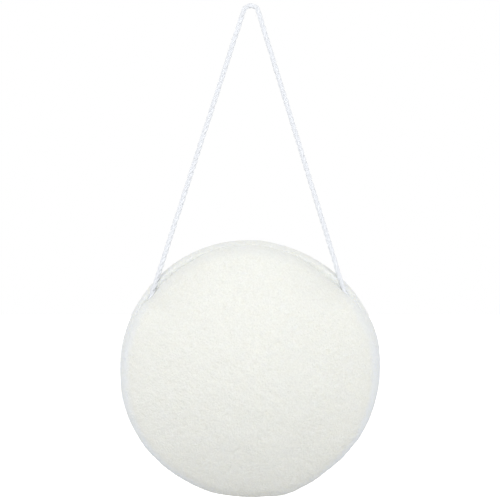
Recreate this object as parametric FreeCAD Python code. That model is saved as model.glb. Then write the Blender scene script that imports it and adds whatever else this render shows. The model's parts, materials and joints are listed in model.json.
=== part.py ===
import FreeCAD, Part

import math
import os

from FreeCAD import Rotation, Vector

# Konjac facial sponge hanging from a hook by its cotton string, in millimetres with +Z up.
# The origin is the underside of the string's bight, where the hook bears, and the domed face looks along -Y.
# The string's two legs lie in the plane y = 0, and the sponge's top leans forward, so that its centre of mass
# is under them. The string goes on round the sponge in a groove in its edge.

# Sponge, in its own frame: the disc's axis is Y, the groove lies in the plane y = 0 and the crown is at -Y
SPONGE_RADIUS = 40.0
FRONT_STEP = 1.7
FRONT_DEPTH = 20.5
FRONT_EDGE_RADIUS = 8.2
FRONT_SIDE_RADIUS = 14.0
FRONT_WIDEST_DEPTH = 3.5
BACK_DEPTH = 8.6
BACK_EDGE_RADIUS = 4.8
BACK_SIDE_RADIUS = 9.0

# Groove round the sponge: a slit between two lips, with a round channel at its bottom for the string
SLIT_WIDTH = 0.4
LIP_RADIUS = 0.8
GROOVE_DEPTH = 4.6
GROOVE_CLEARANCE = 0.25
ENTRY_RISE = 2.75
ENTRY_CLEARANCE = 0.15

# String
STRING_DIAMETER = 1.4
HINGE_RISE = 8.5
HINGE_GAP = 0.1

# Route of the string's centreline above the groove, chosen by hand as (x, z): at the bight, at the sponge
BIGHT_CORNERS = [(-1.7, 0.7), (1.7, 0.7)]
ENTRIES = [(-30.25, -88.1), (28.9, -88.1)]
SPONGE_X = -0.4

# Knot in the groove: wraps round a core, and a tail beside each end of the string
KNOT_ANGLE_DEG = 285.0
WRAP_RADIUS = 1.15
WRAP_PITCH = 1.25
WRAP_COUNT = 3
KNOT_CORE_RADIUS = 0.95
KNOT_CORE_PROUD = 0.15
TAIL_LENGTH = 3.0
TAIL_GAP = 0.1
POCKET_CLEARANCE = 0.25
POCKET_EDGE_RADIUS = 0.8

# A corner's arc takes this share of its shorter run on each side
RUN_SHARE = 0.45

FRONT_RADIUS = SPONGE_RADIUS - FRONT_STEP
GROOVE_RADIUS = SPONGE_RADIUS - GROOVE_DEPTH
STRING_RADIUS = STRING_DIAMETER / 2
TAIL_OFFSET = STRING_DIAMETER + TAIL_GAP
KNOT_HALF_LENGTH = WRAP_PITCH * (WRAP_COUNT - 1) / 2 + STRING_RADIUS + KNOT_CORE_PROUD
X_AXIS = Vector(1, 0, 0)
Y_AXIS = Vector(0, 1, 0)
ORIGIN = Vector(0, 0, 0)


def towards(start, end, distance):
    """The point at a distance from start on the way to end."""
    return start + Vector(end - start).normalize() * distance


def arc_edge(centre, radius, start, end):
    """The shorter arc about a centre, from start to end."""
    middle = towards(centre, (start + end) / 2, radius)
    return Part.Arc(start, middle, end).toShape()


def side_centre(edge_centre, edge_radius, side_radius):
    """The centre of the flatter side arc that meets an edge's arc at the disc's widest circle."""
    return Vector(edge_centre.x + edge_radius - side_radius, edge_centre.y, 0)


def lip_centre(centre, radius, side):
    """The centre of the round lip between a side arc and the slit's wall, on one side of the groove."""
    y = side * (SLIT_WIDTH / 2 + LIP_RADIUS)
    return Vector(centre.x + math.sqrt((radius - LIP_RADIUS) ** 2 - (y - centre.y) ** 2), y, 0)


def front_edges(front_centre):
    """The front half of the section, from the crown over the edge to the groove's lip."""
    rise = FRONT_DEPTH - FRONT_WIDEST_DEPTH
    crown_radius = (front_centre.x**2 + rise**2 - FRONT_EDGE_RADIUS**2) / (2 * (rise - FRONT_EDGE_RADIUS))
    crown = Vector(0, -FRONT_DEPTH, 0)
    crown_centre = Vector(0, crown_radius - FRONT_DEPTH, 0)
    shoulder = towards(crown_centre, front_centre, crown_radius)
    widest = Vector(FRONT_RADIUS, -FRONT_WIDEST_DEPTH, 0)
    side = side_centre(front_centre, FRONT_EDGE_RADIUS, FRONT_SIDE_RADIUS)
    lip = lip_centre(side, FRONT_SIDE_RADIUS, -1)
    lip_start = towards(side, lip, FRONT_SIDE_RADIUS)
    wall = Vector(lip.x, -SLIT_WIDTH / 2, 0)
    return crown, wall, [
        arc_edge(crown_centre, crown_radius, crown, shoulder),
        arc_edge(front_centre, FRONT_EDGE_RADIUS, shoulder, widest),
        arc_edge(side, FRONT_SIDE_RADIUS, widest, lip_start),
        arc_edge(lip, LIP_RADIUS, lip_start, wall),
    ]


def back_edges(back_centre):
    """The back half of the section, from the groove's lip over the edge to the flat back's rim."""
    widest = Vector(SPONGE_RADIUS, back_centre.y, 0)
    side = side_centre(back_centre, BACK_EDGE_RADIUS, BACK_SIDE_RADIUS)
    lip = lip_centre(side, BACK_SIDE_RADIUS, 1)
    lip_end = towards(side, lip, BACK_SIDE_RADIUS)
    wall = Vector(lip.x, SLIT_WIDTH / 2, 0)
    rim = Vector(back_centre.x, BACK_DEPTH, 0)
    return wall, rim, [
        arc_edge(lip, LIP_RADIUS, wall, lip_end),
        arc_edge(side, BACK_SIDE_RADIUS, lip_end, widest),
        arc_edge(back_centre, BACK_EDGE_RADIUS, widest, rim),
    ]


def sponge_section():
    """Half of the disc's section in the plane z = 0: crown, front edge, groove, back edge and flat back."""
    front_centre = Vector(FRONT_RADIUS - FRONT_EDGE_RADIUS, -FRONT_WIDEST_DEPTH, 0)
    back_centre = Vector(SPONGE_RADIUS - BACK_EDGE_RADIUS, BACK_DEPTH - BACK_EDGE_RADIUS, 0)
    crown, front_wall, front = front_edges(front_centre)
    back_wall, back_rim, back = back_edges(back_centre)
    half_slit = SLIT_WIDTH / 2
    channel_radius = STRING_RADIUS + GROOVE_CLEARANCE
    channel_centre = Vector(GROOVE_RADIUS, 0, 0)
    channel_bottom = Vector(GROOVE_RADIUS - channel_radius, 0, 0)
    mouth = GROOVE_RADIUS + math.sqrt(channel_radius**2 - half_slit**2)
    front_mouth = Vector(mouth, -half_slit, 0)
    back_mouth = Vector(mouth, half_slit, 0)
    back_middle = Vector(0, BACK_DEPTH, 0)
    groove = [
        Part.makeLine(front_wall, front_mouth),
        arc_edge(channel_centre, channel_radius, front_mouth, channel_bottom),
        arc_edge(channel_centre, channel_radius, channel_bottom, back_mouth),
        Part.makeLine(back_mouth, back_wall),
    ]
    middle = [Part.makeLine(back_rim, back_middle), Part.makeLine(back_middle, crown)]
    return Part.Face(Part.Wire([*front, *groove, *back, *middle]))


def hanging_place(mass_centre):
    """The sponge's place under the hook: it leans until its centre of mass is under the string's legs."""
    (left_x, left_z), (right_x, right_z) = ENTRIES
    entry_height = math.sqrt((GROOVE_RADIUS + ENTRY_RISE) ** 2 - ((right_x - left_x) / 2) ** 2)
    lean_deg = math.degrees(math.atan2(-mass_centre.y, entry_height - mass_centre.z))
    turn = Rotation(X_AXIS, lean_deg)
    centre = Vector(SPONGE_X, 0, (left_z + right_z) / 2) - turn.multVec(Vector(0, 0, entry_height))
    print(f"lean {lean_deg:.3f} deg, centre of the disc {centre}")
    return FreeCAD.Placement(centre, turn)


def leg_point(side, z):
    """The point of a leg's centreline at a height, on the line from the bight's corner through the entry."""
    top_x, top_z = BIGHT_CORNERS[side]
    entry_x, entry_z = ENTRIES[side]
    return Vector(top_x + (entry_x - top_x) * (z - top_z) / (entry_z - top_z), 0, z)


def hinge_point(side):
    """The point that a leg's free stretch bends about, above the leg's entry into the sponge."""
    return leg_point(side, ENTRIES[side][1] + HINGE_RISE)


def run_edges(points, label):
    """Straight runs joined by arcs tangent to them. Prints the arcs' radii."""
    edges = []
    radii = []
    start = points[0]
    for before, corner, after in zip(points, points[1:], points[2:]):
        turn = (corner - before).getAngle(after - corner)
        reach = RUN_SHARE * min((corner - before).Length, (after - corner).Length)
        radius = reach / math.tan(turn / 2)
        enter = towards(corner, before, reach)
        leave = towards(corner, after, reach)
        middle = towards(corner, (enter + leave) / 2, radius / math.cos(turn / 2) - radius)
        edges.append(Part.LineSegment(start, enter).toShape())
        edges.append(Part.Arc(enter, middle, leave).toShape())
        radii.append(radius)
        start = leave
    edges.append(Part.LineSegment(start, points[-1]).toShape())
    print(f"{label}: radii {[round(radius, 2) for radius in radii]} mm")
    return edges


def tube(edges, radius, label):
    """A round tube along a path, with its volume compared with its section times its length."""
    path = Part.Wire(edges)
    first = edges[0]
    start = first.valueAt(first.FirstParameter)
    ring = Part.makeCircle(radius, start, first.tangentAt(first.FirstParameter))
    solid = path.makePipeShell([Part.Wire(ring)], True, False).Solids[0]
    expected = math.pi * radius**2 * path.Length
    print(f"{label}: length {path.Length:.1f} mm")
    print(f"{label}: volume {solid.Volume:.2f}, section times length {expected:.2f} mm3")
    return solid


def free_stretch():
    """The string from the left rim over the hook to the right rim, cut back from the hinge at both ends."""
    corners = [Vector(x, 0, z) for x, z in BIGHT_CORNERS]
    ends = []
    for side, corner in enumerate(corners):
        hinge = hinge_point(side)
        ends.append(towards(hinge, corner, STRING_RADIUS + HINGE_GAP))
    edges = run_edges([ends[0], *corners, ends[1]], "string_loop")
    return tube(edges, STRING_RADIUS, "string_loop")


def groove_point(place, angle):
    """The point of the groove's centreline at an angle about the disc's centre."""
    return place.multVec(Vector(math.cos(angle), 0, math.sin(angle)) * GROOVE_RADIUS)


def groove_start(side, place):
    """The angle at which the string, coming straight from its entry, meets the groove."""
    entry = place.inverse().multVec(Vector(ENTRIES[side][0], 0, ENTRIES[side][1]))
    turn = math.acos(GROOVE_RADIUS / math.hypot(entry.x, entry.z))
    return math.atan2(entry.z, entry.x) + (turn if side == 0 else -turn)


def entry_runs(side, place, label):
    """From the hinge down the leg's line to the entry, and on to the groove."""
    entry = Vector(ENTRIES[side][0], 0, ENTRIES[side][1])
    groove = groove_point(place, groove_start(side, place))
    return run_edges([hinge_point(side), entry, groove], label)


def waist(side, place, label):
    """One end of the string: a round top that the free stretch bends about, then the groove to the knot."""
    start = groove_start(side, place)
    end = math.radians(KNOT_ANGLE_DEG) if side == 0 else math.radians(KNOT_ANGLE_DEG - 360)
    angles = [start, (start + end) / 2, end]
    edges = entry_runs(side, place, label)
    edges.append(Part.Arc(*[groove_point(place, angle) for angle in angles]).toShape())
    string = tube(edges, STRING_RADIUS, label)
    top = Part.makeSphere(STRING_RADIUS, hinge_point(side))
    return string.fuse(top).cut(knot_barrel(place, TAIL_OFFSET, KNOT_HALF_LENGTH)).Solids[0]


def knot_axes(place):
    """The knot's middle, and its directions along the groove and through the disc."""
    angle = math.radians(KNOT_ANGLE_DEG)
    along = place.Rotation.multVec(Vector(-math.sin(angle), 0, math.cos(angle)))
    return groove_point(place, angle), along, place.Rotation.multVec(Y_AXIS)


def knot_barrel(place, radius, half_length):
    """A cylinder about the knot's axis."""
    middle, along, _ = knot_axes(place)
    return Part.makeCylinder(radius, 2 * half_length, middle - along * half_length, along)


def knot(place):
    """Wraps on a core, with the two short tails beside the string, one in front and one behind."""
    middle, along, through = knot_axes(place)
    pieces = []
    for number in range(WRAP_COUNT):
        centre = middle + along * WRAP_PITCH * (number - (WRAP_COUNT - 1) / 2)
        pieces.append(Part.makeTorus(WRAP_RADIUS, STRING_RADIUS, centre, along))
    for way in (-1, 1):
        start = middle + through * way * TAIL_OFFSET
        pieces.append(Part.makeCylinder(STRING_RADIUS, KNOT_HALF_LENGTH + TAIL_LENGTH, start, along * way))
    return knot_barrel(place, KNOT_CORE_RADIUS, KNOT_HALF_LENGTH).fuse(pieces).Solids[0]


def knot_pocket(place):
    """The room for the knot's wraps and, in front and behind, for its tails."""
    middle, along, through = knot_axes(place)
    half_length = KNOT_HALF_LENGTH + TAIL_LENGTH + POCKET_CLEARANCE
    half_width = WRAP_RADIUS + STRING_RADIUS + POCKET_CLEARANCE
    half_depth = TAIL_OFFSET + STRING_RADIUS + POCKET_CLEARANCE
    room = Part.makeBox(2 * half_width, 2 * half_depth, 2 * half_length)
    room.translate(Vector(-half_width, -half_depth, -half_length))
    room = room.makeFillet(POCKET_EDGE_RADIUS, room.Edges)
    room.Placement = FreeCAD.Placement(middle, Rotation(through.cross(along), through, along, "ZXY"))
    return room


def build():
    body = sponge_section().revolve(ORIGIN, Y_AXIS, 360)
    place = hanging_place(body.CenterOfMass)
    body.Placement = place
    tools = [knot_pocket(place)]
    for side in range(len(ENTRIES)):
        tools.append(tube(entry_runs(side, place, "entry"), STRING_RADIUS + ENTRY_CLEARANCE, "entry"))
    print(f"hinge through {hinge_point(0)} and {hinge_point(1)}")
    print(f"back face centre {place.multVec(Y_AXIS * BACK_DEPTH)}, normal {place.Rotation.multVec(Y_AXIS)}")
    return {
        "sponge_body": body.cut(tools).Solids[0],
        "string_loop": free_stretch(),
        "string_waist_left": waist(0, place, "string_waist_left"),
        "string_waist_right": waist(1, place, "string_waist_right"),
        "string_knot": knot(place),
    }


os.makedirs("parts", exist_ok=True)
for name, shape in build().items():
    box = shape.BoundBox
    print(
        f"{name}: valid {shape.isValid()}, solids {len(shape.Solids)}, volume {shape.Volume:.1f}, "
        f"centre {shape.CenterOfMass}, z {box.ZMin:.2f} to {box.ZMax:.2f}, y {box.YMin:.2f} to {box.YMax:.2f}"
    )
    shape.exportStep(f"parts/{name}.step")
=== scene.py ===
import json
import math

import bpy
import numpy as np
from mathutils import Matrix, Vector, kdtree, noise


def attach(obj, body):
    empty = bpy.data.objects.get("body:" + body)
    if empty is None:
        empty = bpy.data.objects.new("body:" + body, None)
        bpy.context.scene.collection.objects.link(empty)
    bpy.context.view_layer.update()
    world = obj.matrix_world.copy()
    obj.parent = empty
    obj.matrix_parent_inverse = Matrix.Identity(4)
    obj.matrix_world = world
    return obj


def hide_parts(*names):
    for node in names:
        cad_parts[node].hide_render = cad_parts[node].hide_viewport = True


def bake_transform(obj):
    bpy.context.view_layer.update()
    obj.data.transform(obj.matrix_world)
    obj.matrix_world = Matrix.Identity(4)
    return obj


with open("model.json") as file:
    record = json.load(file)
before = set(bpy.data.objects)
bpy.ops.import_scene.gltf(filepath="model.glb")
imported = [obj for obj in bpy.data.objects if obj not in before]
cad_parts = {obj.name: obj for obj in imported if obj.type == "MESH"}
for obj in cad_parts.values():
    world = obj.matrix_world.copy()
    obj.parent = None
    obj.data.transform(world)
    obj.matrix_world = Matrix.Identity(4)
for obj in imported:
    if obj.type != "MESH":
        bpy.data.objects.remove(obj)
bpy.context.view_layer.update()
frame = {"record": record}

# Konjac sponge hanging from its cotton string. Metres, with the sizes written in millimetres times MM.
MM = 0.001

# Sponge, in its own frame: the disc's axis is y, the groove lies in the plane y = 0 and the crown is at -y
SPONGE_RADIUS = 40.0 * MM
FRONT_DEPTH = 20.5 * MM
FRONT_EDGE_RADIUS = 8.2 * MM
FRONT_SIDE_RADIUS = 14.0 * MM
BACK_DEPTH = 8.6 * MM
BACK_EDGE_RADIUS = 4.8 * MM
BACK_SIDE_RADIUS = 9.0 * MM
GROOVE_RADIUS = 35.4 * MM
CHANNEL_RADIUS = 0.95 * MM

# The groove where it is open and where its lips close: (front's radius, how far its widest ring is in front
# of the groove, lip's radius, half of the slit)
OPEN_GROOVE = (38.3 * MM, 2.2 * MM, 0.4 * MM, 0.06 * MM)
CLOSED_GROOVE = (39.3 * MM, 3.5 * MM, 0.15 * MM, 0.03 * MM)

# How open the groove is: (degrees about the disc's axis, from 0 to 1, and more where the string pulls it
# wide). The radii are where that begins to shape the foam and where it does so in full.
OPENING_RADII = (27.0 * MM, 38.0 * MM)
OPENNESS = [
    (26, 0), (32, 0.12), (37, 0.7), (42, 1.45), (50, 1.5), (60, 0.9), (74, 0.2), (90, 0), (106, 0.2),
    (120, 0.9), (133, 1.0), (142, 1.5), (148, 0.4), (155, 0), (270, 0),
]

# Mesh of the sponge: the cells along each run of its section, a ring's longest cell, the innermost ring's
# segments and the most times that they double
RUN_CELLS = {"crown": 72, "edge": 24, "side": 9, "lip": 5, "wall": 7, "channel": 4, "back": 50}
CELL = 0.44 * MM
INNER_SEGMENTS = 36
DOUBLINGS = 4

# How far the outline stands out or in: (degrees about the disc's axis, millimetres). It acts
# with this power of the distance from the axis, and so does the share of the swells that the rim lacks.
RIM_POWER = 4
OUTLINE = [
    (0, 0.25), (14, 0.65), (32, 0.28), (60, -0.25), (74, -0.12), (86, 0.28), (104, 0.38), (122, 0.5),
    (150, 0.42), (168, 0.35), (181, 0.22), (195, 0.62), (214, 0.6), (226, 0.15), (240, -0.22), (251, -0.2),
    (264, -0.6), (275, -0.5), (286, 0.22), (297, -0.26), (308, -0.62), (322, -0.33), (332, 0.12), (345, 0.12),
]

# Painted cool reflected light on the rim: the distance from the axis where it begins and where it is full, and
# its share as (degrees about the disc's axis, from 0 to 1)
RIM_COOL_LIGHT_RADII = (36.4 * MM, 38.5 * MM)
RIM_COOL_LIGHT_SHARES = [
    (0, 1.0), (25, 0.45), (45, 0.35), (60, 0.15), (90, 0.2), (120, 0.2), (140, 0.35), (158, 0.55), (180, 0.8),
    (200, 0.8), (220, 1.0), (242, 0.75), (262, 0), (278, 0), (300, 0.4), (318, 1.0), (342, 1.0),
]

# Foam: swells, which lose a share of their height at the rim, small bumps, and open pores
SWELL_LENGTH = 9.0 * MM
SWELL_HEIGHT = 0.16 * MM
SWELL_RIM_LOSS = 0.7
BUMP_LENGTH = 1.5 * MM
BUMP_HEIGHT = 0.07 * MM
NOISE_SHIFT = (17.3, 5.1, 9.7)
PORE_SEED = 5
PORE_COUNT = 2600
PORE_RADII = (0.5 * MM, 1.0 * MM)
PORE_DEPTH_SHARE = 0.16
PORE_DEPTH_SPREAD = (0.7, 1.0)

# Room for the string in the foam: its radius, and shares of that radius. Up to the first skirt share the foam
# keeps clear of it, and up to the second it eases back. Points beyond the search share are left alone.
STRING_ROOM = 0.67 * MM
ROOM_SKIRT_SHARES = (0.55, 0.95)
ROOM_SEARCH_SHARE = 3

# String: its centreline's points above the groove as (x, z), and its way on to the knot
STRING_DIAMETER = 1.4 * MM
LOOSE_DIAMETER = 1.58 * MM
BIGHT_CORNERS = [(-1.9 * MM, 0.7 * MM), (1.6 * MM, 0.7 * MM)]
ENTRIES = [(-30.6 * MM, -88.1 * MM), (28.8 * MM, -88.1 * MM)]
HOOK_RUN = 3.4 * MM
FOOT_RUN = 8.4 * MM
ENTRY_REACH = 2.0 * MM
GROOVE_STEP_DEG = 20
KNOT_ANGLE_DEG = 285
FREE_END_RUN = 24.0 * MM
SPLINE_RESOLUTION = 64
RING_STEP = 0.16 * MM

# Plies, and the yarns in them. Waves are (height, length): in radians for a ply's wander round the line, and
# as a share of its radius for its swell. The stretch share draws out the material's fibres along the ply.
PLY_COUNT = 3
PLY_SIDES = 18
PLY_RADIUS = 0.47 * MM
PLY_LAY = 6.3 * MM
WANDER_WAVES = ((0.25, 7.3 * MM), (0.15, 2.9 * MM))
SWELL_WAVE = (0.05, 1.7 * MM)
YARN_COUNT = 5
YARN_LAY = 3.4 * MM
YARN_DEPTH_SHARE = 0.09
FIBRE_STRETCH_SHARE = 0.12

# Knot: wraps of the string round itself, and the two tails
WRAP_RADIUS = 1.15 * MM
WRAP_PITCH = 1.25 * MM
WRAP_COUNT = 3
WRAP_STEPS = 40
TAIL_LENGTH = 2.5 * MM
TAIL_STEPS = 60

# Fibres that stand off the string: the most that one leans along it and curls, how much of the curl it has at
# its tip, and how much thinner it is there
FIBRE_SEED = 11
FIBRE_COUNT = 2000
FIBRE_RADIUS = 0.011 * MM
FIBRE_LENGTHS = (0.35 * MM, 1.3 * MM)
FIBRE_LEAN = 1.6
FIBRE_CURL = 0.7
FIBRE_CURL_SHARE = 0.6
FIBRE_TAPER = 0.7
FIBRE_RINGS = (0, 0.3, 0.6, 1)
FIBRE_SIDES = 3

# Foam's material: its finish, the sizes of its grain, blotches and two kinds of cells, its colours, among them
# painted shade in the pores and painted cool reflected light on the rim, with ramps as two stops, how much the
# blotches and the painted pore shade show, and its bumps as (strength, distance)
FOAM_FINISH = {
    "Roughness": 0.9, "Specular IOR Level": 0.25, "Subsurface Weight": 0.4,
    "Subsurface Radius": (1.0, 0.95, 0.8), "Subsurface Scale": 1.5 * MM,
}
GRAIN_SIZE = 0.5 * MM
BLOTCH_SIZE = 2.6 * MM
CELL_SIZE = 0.7 * MM
FINE_CELL_SIZE = 0.24 * MM
GRAIN_RAMP = ((0.3, (0.826, 0.832, 0.789, 1)), (0.7, (0.906, 0.914, 0.869, 1)))
BLOTCH_RAMP = ((0.35, (0.95, 0.95, 0.94, 1)), (0.65, (1, 1, 1, 1)))
BLOTCH_SHARE = 0.15
# Painted shade in the pores: the colour that the deepest pores are darkened towards, and its largest share
PORE_SHADE_COLOUR = (0.80, 0.79, 0.72, 1)
PORE_SHADE_SHARE = 0.25
# Painted cool reflected light on the rim: the colour that the rim is mixed towards
RIM_COOL_LIGHT_COLOUR = (0.868, 0.9, 0.928, 1)
CELL_BUMP = (0.6, 0.2 * MM)
GRAIN_BUMP = (0.75, 0.2 * MM)
FINE_CELL_BUMP = (0.6, 0.1 * MM)

# Cotton's material, in the same terms
COTTON_FINISH = {"Roughness": 0.85, "Specular IOR Level": 0.1, "Sheen Weight": 0.1, "Sheen Roughness": 0.5}
COTTON_FIBRE_SIZE = 0.09 * MM
COTTON_RAMP = ((0.3, (0.805, 0.825, 0.865, 1)), (0.7, (0.865, 0.885, 0.92, 1)))
COTTON_BUMP = (0.6, 0.06 * MM)

# The photograph's frame
FRAME_SIDE = 154.15 * MM
FRAME_CENTRE = Vector((-0.42 * MM, 0, -74.6 * MM))
CAMERA_DISTANCE = 1.6
SENSOR_WIDTH = 36

# Floor: to the camera it glows, from the first to the second level between the two distances from its middle
FLOOR_HEIGHT = -196 * MM
FLOOR_HALF_SIDE = 8.0
FLOOR_FINISH = {"Base Color": (0.64, 0.64, 0.64, 1), "Roughness": 1.0, "Emission Color": (1, 1, 1, 1)}
FLOOR_GLOW_RADII = (0.12, 0.4)
FLOOR_GLOWS = (0.3, 1.0)

# Light: the world's level, and lamps as (name, azimuth, elevation, distance, side, power)
WORLD_LEVEL = 0.502
LAMPS = [
    ("key", -10, 30, 0.9, 0.7, 2.83),
    ("left", -60, 15, 0.9, 0.6, 1.93),
    ("right", 60, 15, 0.9, 0.6, 2.47),
    ("back", 180, 25, 0.9, 0.7, 3.6),
]


def disc_place(record):
    """The disc's centre and its three axes, from the back face's mount."""
    back = next(mount for mount in record["mounts"] if mount["name"] == "back_rest")
    through = Vector(back["axis"]).normalized()
    across = Vector((1, 0, 0))
    up = across.cross(through)
    return Vector(back["pos_m"]) - through * BACK_DEPTH, across, through, up


CENTRE, ACROSS, THROUGH, UP = disc_place(frame["record"])


def to_row(x, y, z):
    """A point of the disc's frame in the row's frame."""
    return CENTRE + ACROSS * x + THROUGH * y + UP * z


def to_disc(point):
    """A point of the row's frame in the disc's frame."""
    offset = point - CENTRE
    return Vector((offset.dot(ACROSS), offset.dot(THROUGH), offset.dot(UP)))


# Route of the string


def leg_point(side, distance):
    """A point of a leg's centreline, at a distance below the bight's corner."""
    corner = Vector((BIGHT_CORNERS[side][0], 0, BIGHT_CORNERS[side][1]))
    entry = Vector((ENTRIES[side][0], 0, ENTRIES[side][1]))
    return corner + (entry - corner).normalized() * distance


def leg_length(side):
    """A leg's length from the bight's corner to its entry."""
    (x, z), (entry_x, entry_z) = BIGHT_CORNERS[side], ENTRIES[side]
    return math.hypot(entry_x - x, entry_z - z)


def groove_turn(side):
    """Control points of the string's turn in the groove, from its entry to the knot."""
    entry = to_disc(Vector((ENTRIES[side][0], 0, ENTRIES[side][1])))
    bend = math.acos(GROOVE_RADIUS / math.hypot(entry.x, entry.z))
    way = 1 if side == 0 else -1
    start = math.atan2(entry.z, entry.x) + way * bend
    end = math.radians(KNOT_ANGLE_DEG if side == 0 else KNOT_ANGLE_DEG - 360)
    count = round(abs(end - start) / math.radians(GROOVE_STEP_DEG))
    step = (end - start) / count
    reach = GROOVE_RADIUS / math.cos(step / 2)
    angles = [start + (number + 0.5) * step for number in range(count)]
    points = [to_row(reach * math.cos(angle), 0, reach * math.sin(angle)) for angle in angles]
    points.append(to_row(GROOVE_RADIUS * math.cos(end), 0, GROOVE_RADIUS * math.sin(end)))
    return points


def route_points():
    """Control points of the whole string, from the knot up the left leg and down the right one."""
    halves = []
    for side in (0, 1):
        corner = leg_point(side, 0)
        entry = leg_point(side, leg_length(side) + ENTRY_REACH)
        foot = leg_point(side, leg_length(side) - FOOT_RUN)
        halves.append([corner, leg_point(side, HOOK_RUN), foot, entry, *groove_turn(side)])
    return halves[0][::-1] + halves[1]


def even_line(found):
    """Points a ring step apart along a line."""
    runs = np.linalg.norm(np.diff(found, axis=0), axis=1)
    along = np.concatenate([[0], np.cumsum(runs)])
    places = np.linspace(0, along[-1], int(along[-1] / RING_STEP) + 1)
    return np.stack([np.interp(places, along, found[:, axis]) for axis in range(3)], axis=1)


def spline_line(points):
    """The line of a NURBS spline through control points, as points a ring step apart."""
    curve = bpy.data.curves.new("route", "CURVE")
    curve.dimensions = "3D"
    curve.resolution_u = SPLINE_RESOLUTION
    spline = curve.splines.new("NURBS")
    spline.points.add(len(points) - 1)
    for control, point in zip(spline.points, points):
        control.co = (*point, 1)
    spline.order_u = 3
    spline.use_endpoint_u = True
    carrier = bpy.data.objects.new("route", curve)
    line = bpy.data.meshes.new_from_object(carrier)
    found = np.array([vertex.co for vertex in line.vertices])
    bpy.data.objects.remove(carrier)
    bpy.data.curves.remove(curve)
    bpy.data.meshes.remove(line)
    return even_line(found)


def line_frames(line):
    """Unit vectors along a line and two across it, one of them near the row's y axis."""
    ahead = np.gradient(line, axis=0)
    ahead /= np.linalg.norm(ahead, axis=1, keepdims=True)
    depth = np.array([0.0, 1.0, 0.0]) - ahead * ahead[:, 1:2]
    depth /= np.linalg.norm(depth, axis=1, keepdims=True)
    return ahead, depth, np.cross(ahead, depth)


# Meshes


def make_piece(name, points, faces, material):
    """A smooth-shaded mesh object in the scene."""
    mesh = bpy.data.meshes.new(name)
    mesh.from_pydata(points, [], faces)
    mesh.materials.append(material)
    mesh.shade_smooth()
    mesh.update()
    piece = bpy.data.objects.new(name, mesh)
    bpy.context.scene.collection.objects.link(piece)
    return piece


def tube_faces(rings, sides, first):
    """Faces of a tube of rings, closed at both ends, whose points start at an index."""
    faces = []
    for ring in range(rings - 1):
        low = first + ring * sides
        for side in range(sides):
            after = (side + 1) % sides
            faces.append((low + side, low + sides + side, low + sides + after, low + after))
    faces.append(tuple(first + side for side in range(sides)))
    faces.append(tuple(first + (rings - 1) * sides + side for side in reversed(range(sides))))
    return faces


def ply_points(line, ply, start):
    """Rings of one ply round a line, with its yarns as lobes that turn against the lay, and where each point
    lies among the ply's own fibres."""
    places = start + np.arange(len(line)) * RING_STEP
    _, depth, across = line_frames(line)
    (slow, slow_length), (quick, quick_length) = WANDER_WAVES
    wander = slow * np.sin(places / slow_length + ply) + quick * np.sin(places / quick_length + 2 * ply)
    turn = 2 * math.pi * (places / PLY_LAY + ply / PLY_COUNT) + wander
    offset = LOOSE_DIAMETER / 2 - PLY_RADIUS
    centres = line + offset * (np.cos(turn)[:, None] * depth + np.sin(turn)[:, None] * across)
    angles = np.arange(PLY_SIDES) * 2 * math.pi / PLY_SIDES
    twisted = angles[None, :] + 2 * math.pi * places[:, None] / YARN_LAY
    lobes = np.abs(np.cos(twisted * YARN_COUNT / 2))
    swell = 1 + SWELL_WAVE[0] * np.sin(places / SWELL_WAVE[1] + 3 * ply)
    radii = PLY_RADIUS * swell[:, None] * (1 - YARN_DEPTH_SHARE * (1 - lobes))
    out_share, aside_share = np.cos(angles)[None, :, None], np.sin(angles)[None, :, None]
    outward = out_share * depth[:, None, :] + aside_share * across[:, None, :]
    along = np.broadcast_to((places[:, None] + ply) * FIBRE_STRETCH_SHARE, twisted.shape)
    lay = np.stack([PLY_RADIUS * np.cos(twisted), PLY_RADIUS * np.sin(twisted), along], axis=2)
    return (centres[:, None, :] + radii[:, :, None] * outward).reshape(-1, 3), lay.reshape(-1, 3)


def rope(name, lines, start, material):
    """A twisted cord round each of some lines. start is how far along the whole string they begin."""
    points = []
    lays = []
    faces = []
    for line in lines:
        for ply in range(PLY_COUNT):
            faces += tube_faces(len(line), PLY_SIDES, len(points))
            placed, lay = ply_points(line, ply, start)
            points += placed.tolist()
            lays.append(lay)
    piece = make_piece(name, points, faces, material)
    kept = piece.data.attributes.new("lay", "FLOAT_VECTOR", "POINT")
    kept.data.foreach_set("vector", np.concatenate(lays).astype(np.float32).ravel())
    return piece


def fibres(name, line, material):
    """Fine loose fibres that stand off the string."""
    draw = np.random.default_rng(FIBRE_SEED)
    ahead, depth, across = line_frames(line)
    points = []
    faces = []
    for _ in range(FIBRE_COUNT):
        root = draw.integers(0, len(line))
        length = draw.uniform(*FIBRE_LENGTHS)
        turn = draw.uniform(0, 2 * math.pi)
        out = math.cos(turn) * depth[root] + math.sin(turn) * across[root]
        lean = draw.uniform(-FIBRE_LEAN, FIBRE_LEAN) * ahead[root] + out
        lean /= np.linalg.norm(lean)
        curl = draw.uniform(-FIBRE_CURL, FIBRE_CURL, 3)
        base = line[root] + out * (STRING_DIAMETER / 2 - PLY_RADIUS)
        sides = [ahead[root] - lean * lean.dot(ahead[root]), np.cross(lean, ahead[root])]
        first = len(points)
        for share in FIBRE_RINGS:
            middle = base + (lean * share + curl * share**2 * FIBRE_CURL_SHARE) * length
            radius = FIBRE_RADIUS * (1 - FIBRE_TAPER * share)
            for corner in range(FIBRE_SIDES):
                angle = 2 * math.pi * corner / FIBRE_SIDES
                points.append(middle + radius * (math.cos(angle) * sides[0] + math.sin(angle) * sides[1]))
        faces += tube_faces(len(FIBRE_RINGS), FIBRE_SIDES, first)
    return make_piece(name, [tuple(point) for point in points], faces, material)


# Sponge


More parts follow.
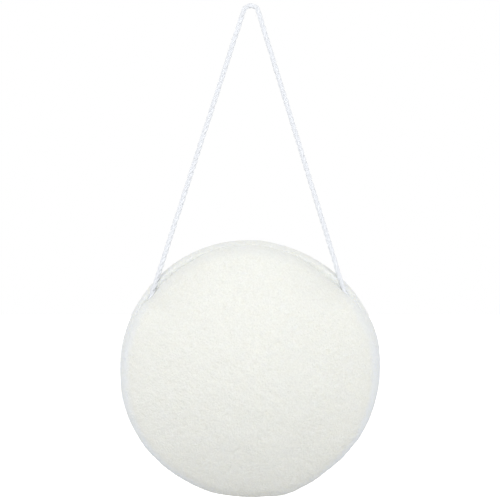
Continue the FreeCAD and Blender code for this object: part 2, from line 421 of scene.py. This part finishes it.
def arc(centre, radius, start, end, cells):
    """Points from start up to end along the shorter arc about a centre, with the end left out."""
    first = math.atan2(start[1] - centre[1], start[0] - centre[0])
    turn = (math.atan2(end[1] - centre[1], end[0] - centre[0]) - first + math.pi) % (2 * math.pi) - math.pi
    angles = [first + turn * number / cells for number in range(cells)]
    return [(centre[0] + radius * math.cos(angle), centre[1] + radius * math.sin(angle)) for angle in angles]


def line_points(start, end, cells):
    """Points from start up to end along a line, with the end left out."""
    return [tuple(a + (b - a) * number / cells for a, b in zip(start, end)) for number in range(cells)]


def lip_centre(centre, radius, groove, side):
    """The centre of the round lip between a side arc and the slit's wall."""
    lip_radius, half_slit = groove[2:]
    y = side * (half_slit + lip_radius)
    return centre[0] + math.sqrt((radius - lip_radius) ** 2 - (y - centre[1]) ** 2), y


def towards(start, end, distance):
    """The point at a distance from start on the way to end."""
    share = distance / math.dist(start, end)
    return tuple(a + (b - a) * share for a, b in zip(start, end))


def front_runs(groove):
    """The section from the crown to the front lip, and the lip's inner end."""
    front_radius, widest_depth, lip_radius, half_slit = groove
    cells = RUN_CELLS
    rise = FRONT_DEPTH - widest_depth
    edge = (front_radius - FRONT_EDGE_RADIUS, -widest_depth)
    crown_radius = (edge[0] ** 2 + rise**2 - FRONT_EDGE_RADIUS**2) / (2 * (rise - FRONT_EDGE_RADIUS))
    crown = (0, crown_radius - FRONT_DEPTH)
    shoulder = towards(crown, edge, crown_radius)
    widest = (front_radius, -widest_depth)
    side = (front_radius - FRONT_SIDE_RADIUS, -widest_depth)
    lip = lip_centre(side, FRONT_SIDE_RADIUS, groove, -1)
    lip_start = towards(side, lip, FRONT_SIDE_RADIUS)
    lip_end = (lip[0], -half_slit)
    runs = arc(crown, crown_radius, (0, -FRONT_DEPTH), shoulder, cells["crown"])
    runs += arc(edge, FRONT_EDGE_RADIUS, shoulder, widest, cells["edge"])
    runs += arc(side, FRONT_SIDE_RADIUS, widest, lip_start, cells["side"])
    runs += arc(lip, lip_radius, lip_start, lip_end, cells["lip"])
    return runs, lip_end


def back_runs(groove):
    """The section from the back lip to the back's middle, and the lip's inner end."""
    lip_radius, half_slit = groove[2:]
    cells = RUN_CELLS
    edge = (SPONGE_RADIUS - BACK_EDGE_RADIUS, BACK_DEPTH - BACK_EDGE_RADIUS)
    widest = (SPONGE_RADIUS, edge[1])
    side = (SPONGE_RADIUS - BACK_SIDE_RADIUS, edge[1])
    lip = lip_centre(side, BACK_SIDE_RADIUS, groove, 1)
    lip_start = (lip[0], half_slit)
    lip_end = towards(side, lip, BACK_SIDE_RADIUS)
    rim = (edge[0], BACK_DEPTH)
    middle = (0, BACK_DEPTH)
    runs = arc(lip, lip_radius, lip_start, lip_end, cells["lip"])
    runs += arc(side, BACK_SIDE_RADIUS, lip_end, widest, cells["side"])
    runs += arc(edge, BACK_EDGE_RADIUS, widest, rim, cells["edge"] // 2)
    runs += line_points(rim, middle, cells["back"])
    return [*runs, middle], lip_start


def sponge_section(groove):
    """Half of the disc's section as (distance from the axis, y), from the crown to the back's middle."""
    front, front_end = front_runs(groove)
    back, back_start = back_runs(groove)
    half_slit = groove[3]
    cells = RUN_CELLS
    channel = (GROOVE_RADIUS, 0)
    mouth = GROOVE_RADIUS + math.sqrt(CHANNEL_RADIUS**2 - half_slit**2)
    bottom = (GROOVE_RADIUS - CHANNEL_RADIUS, 0)
    inner = line_points(front_end, (mouth, -half_slit), cells["wall"])
    inner += arc(channel, CHANNEL_RADIUS, (mouth, -half_slit), bottom, cells["channel"])
    inner += arc(channel, CHANNEL_RADIUS, bottom, (mouth, half_slit), cells["channel"])
    inner += line_points((mouth, half_slit), back_start, cells["wall"])
    return front + inner + back


def ring_segments(radius):
    """How many segments a ring has: the innermost count, doubled until a segment is no longer than a cell."""
    for doubling in range(DOUBLINGS):
        if 2 * math.pi * radius <= CELL * INNER_SEGMENTS * 2**doubling:
            return INNER_SEGMENTS * 2**doubling
    return INNER_SEGMENTS * 2**DOUBLINGS


def stitch(before, after):
    """Faces between two rings of point indices, where one may have twice as many points as the other."""
    faces = []
    count = min(len(before), len(after))
    for number in range(count):
        follow = (number + 1) % count
        if len(before) == len(after):
            faces.append((before[number], after[number], after[follow], before[follow]))
        elif len(before) < len(after):
            half = 2 * number + 1
            faces.append((before[number], after[2 * number], after[half]))
            faces.append((before[number], after[half], before[follow]))
            faces.append((before[follow], after[half], after[2 * follow]))
        else:
            half = 2 * number + 1
            faces.append((before[2 * number], after[number], before[half]))
            faces.append((before[half], after[number], after[follow]))
            faces.append((before[half], after[follow], before[2 * follow]))
    return faces


def by_angle(table, degrees):
    """A value at each angle from a table of (degrees, value), eased between its entries all the way round."""
    known = [(angle - 360, value) for angle, value in table[-2:]] + table
    known = np.array(known + [(angle + 360, value) for angle, value in table[:2]])
    before = np.searchsorted(known[:, 0], np.asarray(degrees) % 360, side="right") - 1
    low, high = known[before], known[before + 1]
    share = (np.asarray(degrees) % 360 - low[:, 0]) / (high[:, 0] - low[:, 0])
    return low[:, 1] + (high[:, 1] - low[:, 1]) * share * share * (3 - 2 * share)


def eased(values, low, high):
    """0 up to low, 1 from high on, and a smooth rise between."""
    share = np.clip((values - low) / (high - low), 0, 1)
    return share * share * (3 - 2 * share)


def revolve():
    """Points in the disc's frame, faces, and how far along the section each point lies."""
    open_section = sponge_section(OPEN_GROOVE)
    closed_section = sponge_section(CLOSED_GROOVE)
    points = [(0, -FRONT_DEPTH, 0)]
    runs = [0]
    faces = []
    ring = None
    for run, (wide, narrow) in enumerate(zip(open_section, closed_section)):
        if run in (0, len(open_section) - 1):
            continue
        count = ring_segments(wide[0])
        first = len(points)
        turns = 2 * math.pi * np.arange(count) / count
        share = by_angle(OPENNESS, np.degrees(turns)) * eased(narrow[0], *OPENING_RADII)
        radii = narrow[0] + (wide[0] - narrow[0]) * share
        depths = narrow[1] + (wide[1] - narrow[1]) * share
        points += list(zip(radii * np.cos(turns), depths, radii * np.sin(turns)))
        runs += [run] * count
        new_ring = range(first, first + count)
        if ring is None:
            faces += [(0, new_ring[number], new_ring[(number + 1) % count]) for number in range(count)]
        else:
            faces += stitch(ring, new_ring)
        ring = new_ring
    points.append((0, BACK_DEPTH, 0))
    runs.append(len(open_section))
    last = len(points) - 1
    faces += [(last, ring[(number + 1) % len(ring)], ring[number]) for number in range(len(ring))]
    return np.array(points), faces, np.array(runs)


def vertex_normals(points, faces):
    """Unit normals of a mesh's points."""
    mesh = bpy.data.meshes.new("shape")
    mesh.from_pydata(points.tolist(), [], faces)
    normals = np.zeros(len(points) * 3)
    mesh.vertices.foreach_get("normal", normals)
    bpy.data.meshes.remove(mesh)
    return normals.reshape(-1, 3)


def noise_at(points, length, seed):
    """Smooth noise from -1 to 1 with a wavelength, at points."""
    shift = Vector([seed * step for step in NOISE_SHIFT])
    return np.array([noise.noise(Vector(point) / length + shift) for point in points])


def make_room(points, sides, line):
    """Points moved off a line along the disc's axis, each to its own side of it, to clear the string's room."""
    clear, skirt = ROOM_SKIRT_SHARES
    tree = kdtree.KDTree(len(line))
    for number, place in enumerate(line):
        tree.insert(place, number)
    tree.balance()
    for number, point in enumerate(points):
        place, _, distance = tree.find(point)
        if distance > ROOM_SEARCH_SHARE * STRING_ROOM:
            continue
        offset = Vector(point) - place
        height = offset.dot(THROUGH) * sides[number]
        aside = (offset - THROUGH * offset.dot(THROUGH)).length / STRING_ROOM
        if aside < clear:
            wanted = STRING_ROOM * math.sqrt(1 - aside**2)
        elif aside < skirt:
            rise = (skirt - aside) / (skirt - clear)
            wanted = height + (STRING_ROOM * math.sqrt(1 - clear**2) - height) * rise * rise
        else:
            continue
        points[number] += np.array(THROUGH) * sides[number] * max(wanted - height, 0)
    return points


def pore_depths(points):
    """Depth of the open pores at each point."""
    draw = np.random.default_rng(PORE_SEED)
    tree = kdtree.KDTree(len(points))
    for number, point in enumerate(points):
        tree.insert(point, number)
    tree.balance()
    depth = np.zeros(len(points))
    for centre in draw.integers(0, len(points), PORE_COUNT):
        radius = draw.uniform(*PORE_RADII)
        stretch = draw.uniform(*PORE_DEPTH_SPREAD)
        for _, number, distance in tree.find_range(points[centre], radius):
            share = 1 - (distance / radius) ** 2
            depth[number] = max(depth[number], radius * PORE_DEPTH_SHARE * stretch * share * share)
    return depth


def groove_parts(runs):
    """Which points of the sponge lie in the groove, and each one's side of it: -1 in front and 1 behind."""
    cells = RUN_CELLS
    lip_run = cells["crown"] + cells["edge"] + cells["side"]
    inner_end = lip_run + 2 * (cells["lip"] + cells["wall"] + cells["channel"])
    in_groove = (runs > lip_run + cells["lip"]) & (runs < inner_end - cells["lip"])
    return in_groove, np.where(runs <= (lip_run + inner_end) // 2, -1, 1)


def foam_relief(points, edge_share):
    """Height of the swells and bumps at each point of the row's frame."""
    swell = SWELL_HEIGHT * noise_at(points, SWELL_LENGTH, seed=1) * (1 - SWELL_RIM_LOSS * edge_share)
    bumps = BUMP_HEIGHT * noise_at(points, BUMP_LENGTH, seed=2)
    small_bumps = BUMP_HEIGHT * noise_at(points, BUMP_LENGTH / 2, seed=3) / 2
    return swell + (bumps + small_bumps)


def sponge(lines, material):
    """The foam, shaped round the string's lines."""
    points, faces, runs = revolve()
    normals = vertex_normals(points, faces)
    in_groove, sides = groove_parts(runs)
    reach = np.hypot(points[:, 0], points[:, 2])
    degrees = np.degrees(np.arctan2(points[:, 2], points[:, 0]))
    edge_share = (reach / SPONGE_RADIUS) ** RIM_POWER
    push = MM * by_angle(OUTLINE, degrees) * edge_share
    outward = points * [1, 0, 1] / np.maximum(reach, CELL)[:, None]
    points += outward * push[:, None]
    points = np.array([to_row(*point) for point in points])
    normals = np.array([ACROSS * x + THROUGH * y + UP * z for x, y, z in normals])
    pores = pore_depths(points)
    points += normals * ((foam_relief(points, edge_share) - pores) * ~in_groove)[:, None]
    for line in lines:
        points = make_room(points, sides, line)
    piece = make_piece("sponge", points.tolist(), faces, material)
    # The rim attribute: how much painted cool reflected light the material lays on the rim
    rim = eased(reach, *RIM_COOL_LIGHT_RADII) * by_angle(RIM_COOL_LIGHT_SHARES, degrees)
    # The pit attribute carries the pores' depth, which the material turns into painted shade in them
    for name, values in (("pit", pores / pores.max()), ("rim", rim)):
        kept = piece.data.attributes.new(name, "FLOAT", "POINT")
        kept.data.foreach_set("value", values.astype(np.float32))
    print(f"sponge: {len(faces)} faces")
    return piece


# Materials


def new_material(name, finish):
    """A material with a Principled shader of a finish, and functions to add and join its nodes."""
    material = bpy.data.materials.new(name)
    material.use_nodes = True
    tree = material.node_tree
    shader = tree.nodes["Principled BSDF"]
    for key, value in finish.items():
        shader.inputs[key].default_value = value

    def add(kind, **values):
        node = tree.nodes.new(kind)
        for key, value in values.items():
            if key in node.inputs:
                node.inputs[key].default_value = value
            else:
                setattr(node, key, value)
        return node

    return material, shader, add, tree.links.new


def texture(add, join, kind, place, size, **values):
    """A texture node whose features have a size."""
    node = add(kind, Scale=1 / size, **values)
    join(place, node.inputs["Vector"])
    return node


def ramp(add, join, share, stops):
    """A colour that goes from one to another as a share goes from one stop to the other."""
    node = add("ShaderNodeValToRGB")
    for stop, (position, colour) in zip(node.color_ramp.elements, stops):
        stop.position = position
        stop.color = colour
    join(share, node.inputs["Fac"])
    return node.outputs["Color"]


def bump(add, join, height, size, normal=None):
    """A bump from a height, on top of another one. size is (strength, distance)."""
    node = add("ShaderNodeBump", Strength=size[0], Distance=size[1])
    join(height, node.inputs["Height"])
    if normal is not None:
        join(normal, node.inputs["Normal"])
    return node.outputs["Normal"]


def foam_colour(add, join, place, grain):
    """The foam's colour: grain, faint blotches, painted shade in the pores and painted cool reflected light on
    the rim.
    """
    tone = ramp(add, join, grain, GRAIN_RAMP)
    blotches = texture(add, join, "ShaderNodeTexNoise", place, BLOTCH_SIZE, Detail=2.0, Roughness=0.5)
    patch = add("ShaderNodeMix", data_type="RGBA", blend_type="MULTIPLY", Factor=BLOTCH_SHARE)
    join(tone, patch.inputs["A"])
    join(ramp(add, join, blotches.outputs["Fac"], BLOTCH_RAMP), patch.inputs["B"])
    # Painted shade in the pores: darker the deeper they are
    pit = add("ShaderNodeAttribute", attribute_name="pit")
    pore_shade = add("ShaderNodeMath", operation="MULTIPLY")
    pore_shade.inputs[1].default_value = PORE_SHADE_SHARE
    join(pit.outputs["Fac"], pore_shade.inputs[0])
    pore_shaded = add("ShaderNodeMix", data_type="RGBA", blend_type="MIX", B=PORE_SHADE_COLOUR)
    join(pore_shade.outputs["Value"], pore_shaded.inputs["Factor"])
    join(patch.outputs["Result"], pore_shaded.inputs["A"])
    # Painted cool reflected light on the rim, as much as the rim attribute gives
    rim = add("ShaderNodeAttribute", attribute_name="rim")
    painted_cool_light = add("ShaderNodeMix", data_type="RGBA", blend_type="MIX", B=RIM_COOL_LIGHT_COLOUR)
    join(rim.outputs["Fac"], painted_cool_light.inputs["Factor"])
    join(pore_shaded.outputs["Result"], painted_cool_light.inputs["A"])
    return painted_cool_light.outputs["Result"]


def foam_material():
    """Matte foam that lets a little light through, with grain and two sizes of open cells."""
    material, shader, add, join = new_material("konjac_foam", FOAM_FINISH)
    place = add("ShaderNodeTexCoord").outputs["Object"]
    noise_node = texture(add, join, "ShaderNodeTexNoise", place, GRAIN_SIZE, Detail=2.0, Roughness=0.6)
    grain = noise_node.outputs["Fac"]
    join(foam_colour(add, join, place, grain), shader.inputs["Base Color"])
    cells = texture(add, join, "ShaderNodeTexVoronoi", place, CELL_SIZE, feature="SMOOTH_F1", Smoothness=0.3)
    fine_cells = texture(add, join, "ShaderNodeTexVoronoi", place, FINE_CELL_SIZE, feature="F1")
    normal = bump(add, join, cells.outputs["Distance"], CELL_BUMP)
    normal = bump(add, join, grain, GRAIN_BUMP, normal)
    normal = bump(add, join, fine_cells.outputs["Distance"], FINE_CELL_BUMP, normal)
    join(normal, shader.inputs["Normal"])
    return material


def cotton_material():
    """Matte cotton with fibres that follow each ply's twist."""
    material, shader, add, join = new_material("cotton_string", COTTON_FINISH)
    lay = add("ShaderNodeAttribute", attribute_name="lay").outputs["Vector"]
    noise_node = texture(add, join, "ShaderNodeTexNoise", lay, COTTON_FIBRE_SIZE, Detail=3.0, Roughness=0.6)
    fibre = noise_node.outputs["Fac"]
    join(ramp(add, join, fibre, COTTON_RAMP), shader.inputs["Base Color"])
    join(bump(add, join, fibre, COTTON_BUMP), shader.inputs["Normal"])
    return material


# Stage


def seen_share(tree):
    """1 for rays that see, from the camera, in gloss or through glass, and 0 for those that only light."""
    rays = tree.nodes.new("ShaderNodeLightPath")
    share = rays.outputs["Is Camera Ray"]
    for name in ("Is Glossy Ray", "Is Transmission Ray"):
        either = tree.nodes.new("ShaderNodeMath")
        either.operation = "MAXIMUM"
        tree.links.new(share, either.inputs[0])
        tree.links.new(rays.outputs[name], either.inputs[1])
        share = either.outputs["Value"]
    return share


def floor_material():
    """A pale floor that keeps the object's shadow near it and shows plain white further off."""
    material, shader, add, join = new_material("floor", FLOOR_FINISH)
    distance = add("ShaderNodeVectorMath", operation="LENGTH")
    join(add("ShaderNodeTexCoord").outputs["Object"], distance.inputs[0])
    far = add("ShaderNodeMapRange")
    for name, value in zip(("From Min", "From Max", "To Min", "To Max"), (*FLOOR_GLOW_RADII, *FLOOR_GLOWS)):
        far.inputs[name].default_value = value
    join(distance.outputs["Value"], far.inputs["Value"])
    glow = add("ShaderNodeMath", operation="MULTIPLY")
    join(seen_share(material.node_tree), glow.inputs[0])
    join(far.outputs["Result"], glow.inputs[1])
    join(glow.outputs["Value"], shader.inputs["Emission Strength"])
    return material


def make_floor():
    """A plain floor under the hanging object."""
    half = FLOOR_HALF_SIDE
    corners = [(-half, -half, 0), (half, -half, 0), (half, half, 0), (-half, half, 0)]
    floor = make_piece("floor", corners, [(0, 1, 2, 3)], floor_material())
    floor.location = (0, 0, FLOOR_HEIGHT)


def make_world():
    """White to the camera, and a plain grey light on the object."""
    world = bpy.data.worlds.new("studio")
    world.use_nodes = True
    bpy.context.scene.world = world
    tree = world.node_tree
    background = tree.nodes["Background"]
    background.inputs["Color"].default_value = (1, 1, 1, 1)
    level = tree.nodes.new("ShaderNodeMapRange")
    level.inputs["To Min"].default_value = WORLD_LEVEL
    level.inputs["To Max"].default_value = 1.0
    tree.links.new(seen_share(tree), level.inputs["Value"])
    tree.links.new(level.outputs["Result"], background.inputs["Strength"])


def make_lamp(name, azimuth, elevation, distance, side, power):
    """A square area lamp that faces the sponge. Azimuth 0 is the camera's side, and 90 is the right."""
    turn, lift = math.radians(azimuth), math.radians(elevation)
    back = Vector((math.sin(turn) * math.cos(lift), -math.cos(turn) * math.cos(lift), math.sin(lift)))
    data = bpy.data.lights.new(name, "AREA")
    data.shape = "SQUARE"
    data.size = side
    data.energy = power
    lamp = bpy.data.objects.new(name, data)
    lamp.location = CENTRE + back * distance
    lamp.rotation_mode = "QUATERNION"
    lamp.rotation_quaternion = (-back).to_track_quat("-Z", "Y")
    bpy.context.scene.collection.objects.link(lamp)


def make_camera():
    """A camera at the photograph's angle, level and from the front, that sees the photograph's frame."""
    data = bpy.data.cameras.new("camera")
    data.sensor_width = SENSOR_WIDTH
    data.lens = data.sensor_width * CAMERA_DISTANCE / FRAME_SIDE
    camera = bpy.data.objects.new("camera", data)
    camera.location = FRAME_CENTRE - Vector((0, CAMERA_DISTANCE, 0))
    camera.rotation_euler = (math.radians(90), 0, 0)
    bpy.context.scene.collection.objects.link(camera)
    bpy.context.scene.camera = camera


def knot_lines():
    """The knot's centrelines: a coil of the string round itself, and the tail at each end."""
    angle = math.radians(KNOT_ANGLE_DEG)
    out = Vector((math.cos(angle), 0, math.sin(angle)))
    along = Vector((-math.sin(angle), 0, math.cos(angle)))
    through = Vector((0, 1, 0))
    middle = out * GROOVE_RADIUS
    half = WRAP_PITCH * WRAP_COUNT / 2
    coil = []
    for place in np.linspace(-0.5, 0.5, WRAP_STEPS * WRAP_COUNT):
        turn = 2 * math.pi * WRAP_COUNT * place
        round_about = out * math.cos(turn) + through * math.sin(turn)
        coil.append(to_row(*(middle + along * (2 * half * place) + round_about * WRAP_RADIUS)))
    lines = [coil]
    for way in (-1, 1):
        start = middle + through * way * STRING_DIAMETER
        reach = half + STRING_DIAMETER + TAIL_LENGTH
        shares = np.linspace(0, 1, TAIL_STEPS)
        lines.append([to_row(*(start + along * (way * reach * share))) for share in shares])
    return [even_line(np.array([tuple(point) for point in line])) for line in lines]


def make_knot(material):
    """The knot, hidden between the lips. It gives back its lines."""
    lines = knot_lines()
    knot = rope("string_tied_ends", lines, 0, material)
    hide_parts("string_knot")
    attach(knot, "sponge")
    return lines


def make_string(line, material):
    """The free stretch, its fibres, and the two ends in the groove."""
    along = np.arange(len(line)) * RING_STEP
    ends = []
    for side in (0, 1):
        entry = np.array(leg_point(side, leg_length(side)))
        ends.append(int(np.argmin(np.linalg.norm(line - entry, axis=1))))
    run = round(FREE_END_RUN / RING_STEP)
    first, last = ends[0] - run, ends[1] + run
    free_line = line[first : last + 1]
    free = rope("string_free", [free_line], along[first], material)
    fuzz = fibres("string_fibres", free_line, material)
    left = rope("string_left_end", [line[: first + 1]], 0, material)
    right = rope("string_right_end", [line[last:]], along[last], material)
    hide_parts("string_loop")
    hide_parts("string_waist_left")
    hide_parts("string_waist_right")
    for piece in (free, fuzz):
        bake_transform(piece)
    for piece in (left, right):
        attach(piece, "sponge")


bpy.context.scene.view_settings.view_transform = "Standard"
make_camera()
make_world()
make_floor()
for lamp in LAMPS:
    make_lamp(*lamp)

cotton = cotton_material()
route = spline_line(route_points())
make_string(route, cotton)

body = sponge([route, *make_knot(cotton)], foam_material())
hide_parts("sponge_body")
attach(body, "sponge")
